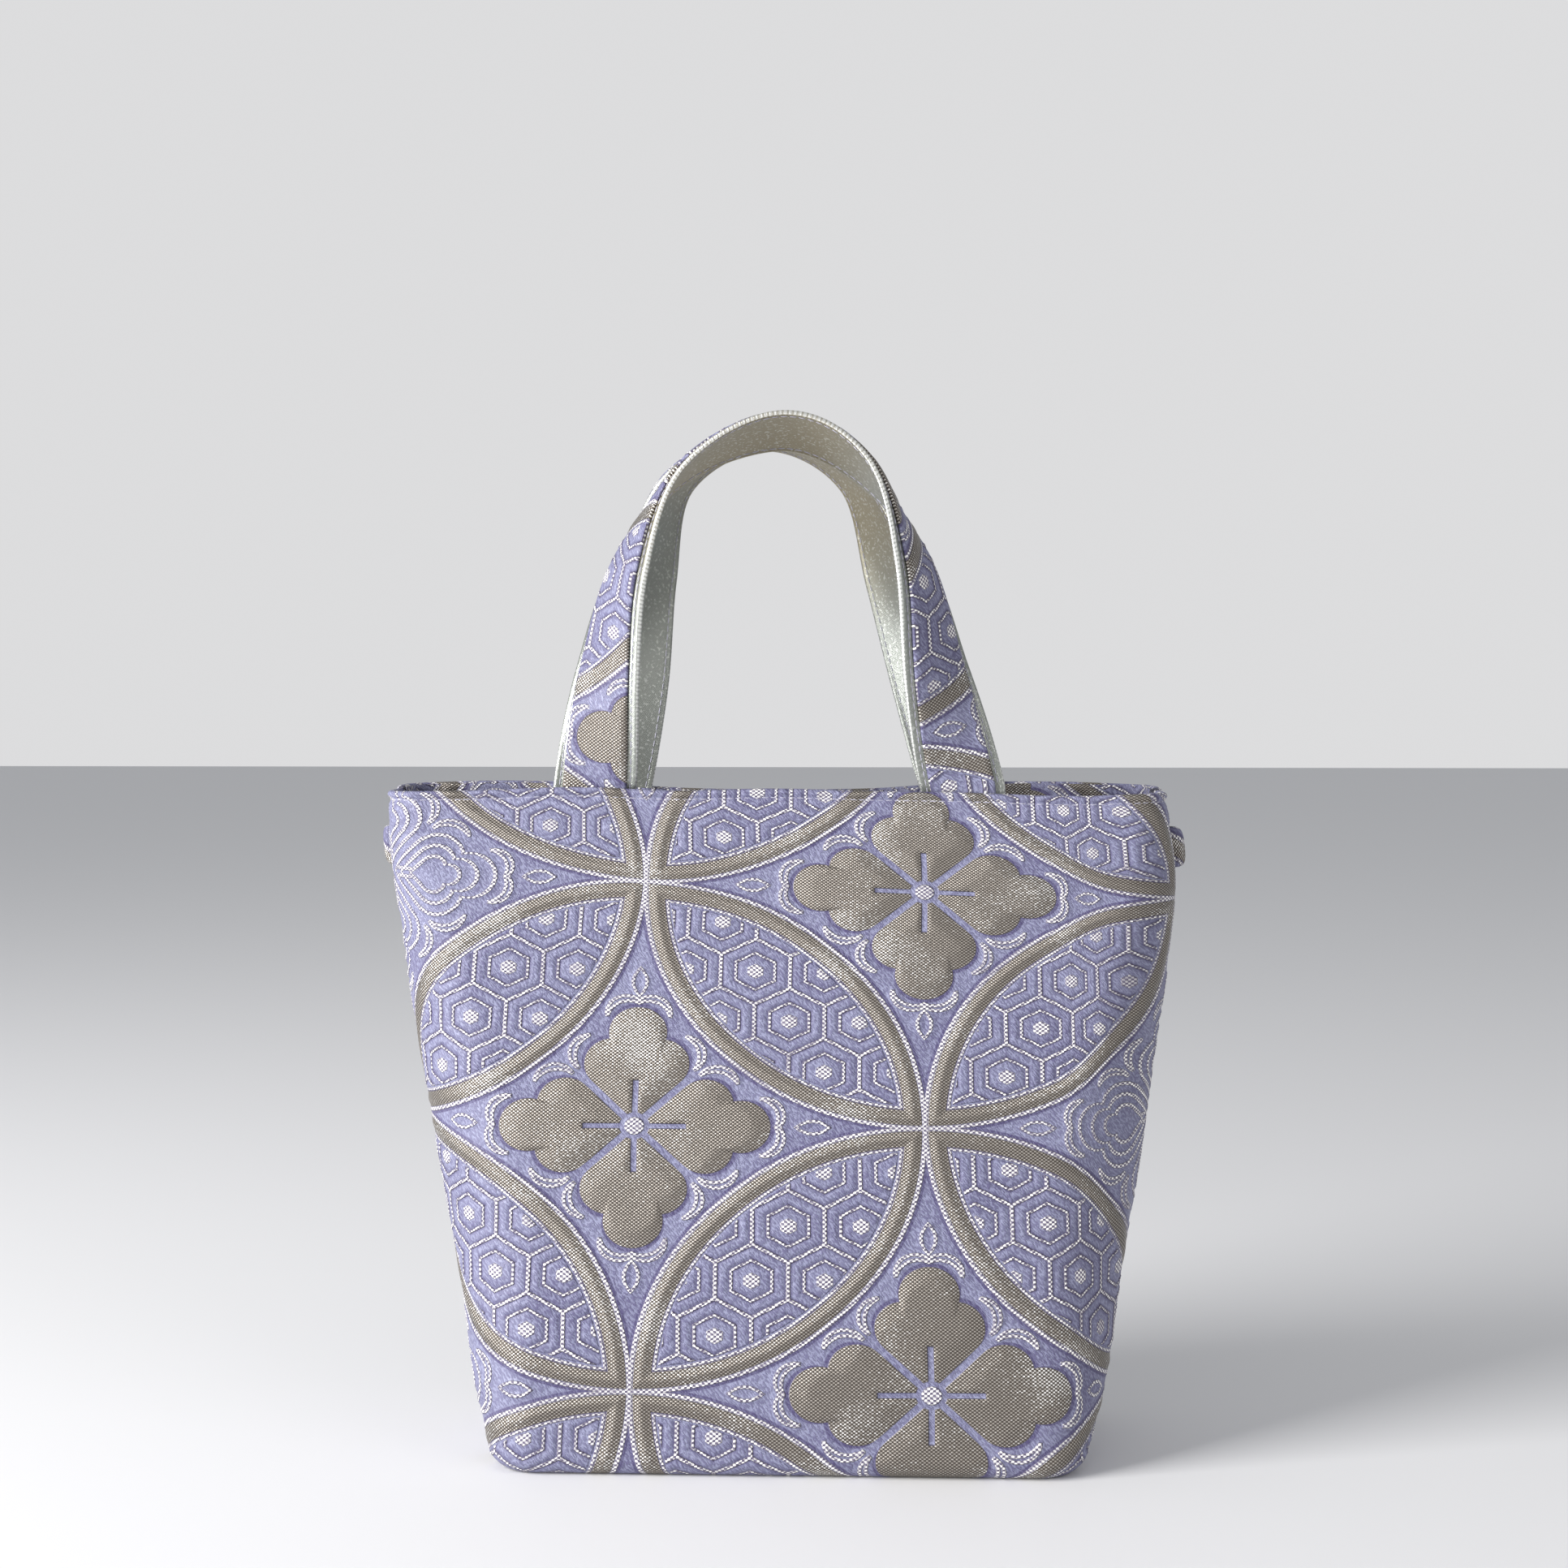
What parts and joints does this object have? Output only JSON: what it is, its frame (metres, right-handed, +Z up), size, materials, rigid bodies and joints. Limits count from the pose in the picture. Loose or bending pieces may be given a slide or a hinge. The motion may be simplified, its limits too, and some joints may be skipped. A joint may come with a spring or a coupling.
{
  "type": "brocade tote bag",
  "caption": "Small open-topped tote bag of woven brocade with flat strap handles, a boxed flat base, an inner facing, a lining and a loop tab at each side seam.",
  "frame": {"origin": "middle of the base, on the surface the bag stands on", "axes": "+Z up, +X to the right as the front is seen, and the front panel faces -Y"},
  "size_m": [0.2746, 0.0944, 0.3484],
  "materials": {
    "brocade": "woven silk-like brocade, lavender ground with a raised silver thread figure",
    "facing": "the same woven brocade, turned inside the mouth",
    "lining": "plain satin",
    "handle_band": "silver metal-thread cloth, glossy",
    "handle_strip": "woven brocade strip, topstitched",
    "board": "stiff pressed felt board, matt",
    "tab": "folded woven brocade ribbon"
  },
  "bodies": {
    "root": {"front_panel": "brocade", "back_panel": "brocade", "front_facing": "facing", "back_facing": "facing", "front_lining": "lining", "back_lining": "lining", "front_handle_band": "handle_band", "back_handle_band": "handle_band", "front_handle_strip": "handle_strip", "back_handle_strip": "handle_strip", "base_board": "board", "right_side_tab": "tab", "left_side_tab": "tab"}
  },
  "joints": []
}
